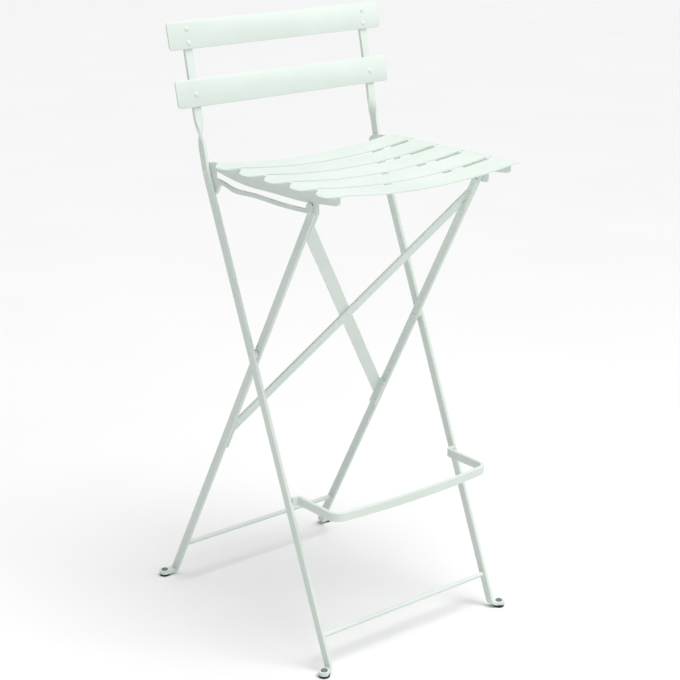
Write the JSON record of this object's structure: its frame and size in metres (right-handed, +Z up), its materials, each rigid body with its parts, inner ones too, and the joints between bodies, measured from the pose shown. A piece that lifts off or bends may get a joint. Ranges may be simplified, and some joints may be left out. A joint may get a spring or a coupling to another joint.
{
  "type": "folding bar stool",
  "caption": "Folding bar stool of painted flat steel bar with a slatted seat, two back slats, a loop footrest and a crossed brace between the rear legs",
  "frame": {"origin": "middle of the outer box in X and Y, on the floor under the soles", "axes": "+Z up, +X to the sitter's right, +Y to the back"},
  "size_m": [0.433, 0.5029, 1],
  "materials": {
    "paint": "satin",
    "rubber": "matte",
    "plug": "matte"
  },
  "bodies": {
    "front_frame": {"long_leg_left": "paint", "long_leg_right": "paint", "back_slat_upper": "paint", "back_slat_lower": "paint", "back_slat_rivets": "paint", "footrest": "paint", "front_cross_rod": "paint", "front_soles": "rubber", "front_foot_plugs": "plug", "main_pivot_rivets": "paint", "main_pivot_spacers": "paint", "seat_hinge_rivets": "paint"},
    "rear_frame": {"short_leg_left": "paint", "short_leg_right": "paint", "rear_cross_rod": "paint", "cross_strap_a": "paint", "cross_strap_b": "paint", "brace_rivets": "paint", "brace_centre_rivet": "paint", "guide_pins": "paint", "rear_soles": "rubber", "rear_foot_plugs": "plug"},
    "seat": {"seat_rail_left": "paint", "seat_rail_right": "paint", "guide_arm_left": "paint", "guide_arm_right": "paint", "seat_slat_1": "paint", "seat_slat_2": "paint", "seat_slat_3": "paint", "seat_slat_4": "paint", "seat_slat_5": "paint"}
  },
  "joints": [
    {"name": "leg_fold", "type": "hinge", "parent": "front_frame", "child": "rear_frame", "pos_m": [0, -0.02542, 0.4855], "axis": [-1, 0, 0], "range_deg": [0, 47]},
    {"name": "seat_fold", "type": "hinge", "parent": "front_frame", "child": "seat", "pos_m": [0, 0.08956, 0.76724], "axis": [-1, 0, 0], "range_deg": [0, 30.55]}
  ],
  "couplings": [
    {"joint": "seat_fold", "follows": "leg_fold", "ratio": 0.65}
  ]
}
